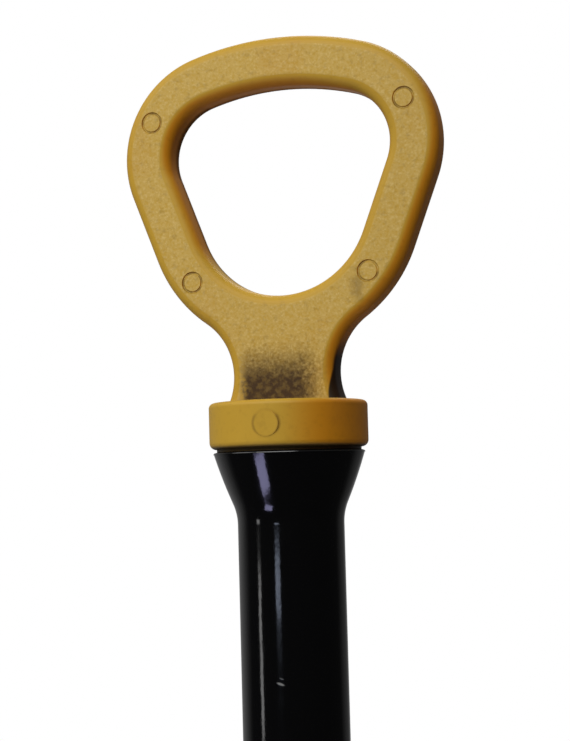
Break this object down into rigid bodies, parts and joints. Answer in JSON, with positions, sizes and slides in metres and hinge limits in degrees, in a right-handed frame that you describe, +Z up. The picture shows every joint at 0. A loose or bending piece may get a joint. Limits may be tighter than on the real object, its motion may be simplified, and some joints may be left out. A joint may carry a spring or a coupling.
{
  "type": "engine oil dipstick",
  "caption": "Oil level dipstick with a nylon ring handle, seated by its collar in the flared mouth of a steel guide tube; handle, seals and flat blade pull out upwards.",
  "frame": {"origin": "on the guide tube's axis, where its spigot enters the engine block", "axes": "+Z up the tube towards the handle, +X to the right and -Y towards the viewer, facing the finger ring"},
  "size_m": [0.0529, 0.0211, 0.379],
  "materials": {
    "nylon": "moulded, satin edges and a fine matt face, some oily grime",
    "rubber": "smooth black rubber",
    "spring_steel": "rolled strip, brushed lengthways",
    "black_paint": "gloss black paint"
  },
  "bodies": {
    "tube": {"guide_tube": "black_paint", "tube_bracket": "black_paint", "tube_seal": "rubber"},
    "dipstick": {"handle": "nylon", "plug_seal_upper": "rubber", "plug_seal_lower": "rubber", "blade": "spring_steel"}
  },
  "joints": [
    {"name": "dipstick_pull", "type": "slide", "parent": "tube", "child": "dipstick", "axis": [0, 0, 1], "range_m": [0, 0.335]}
  ]
}
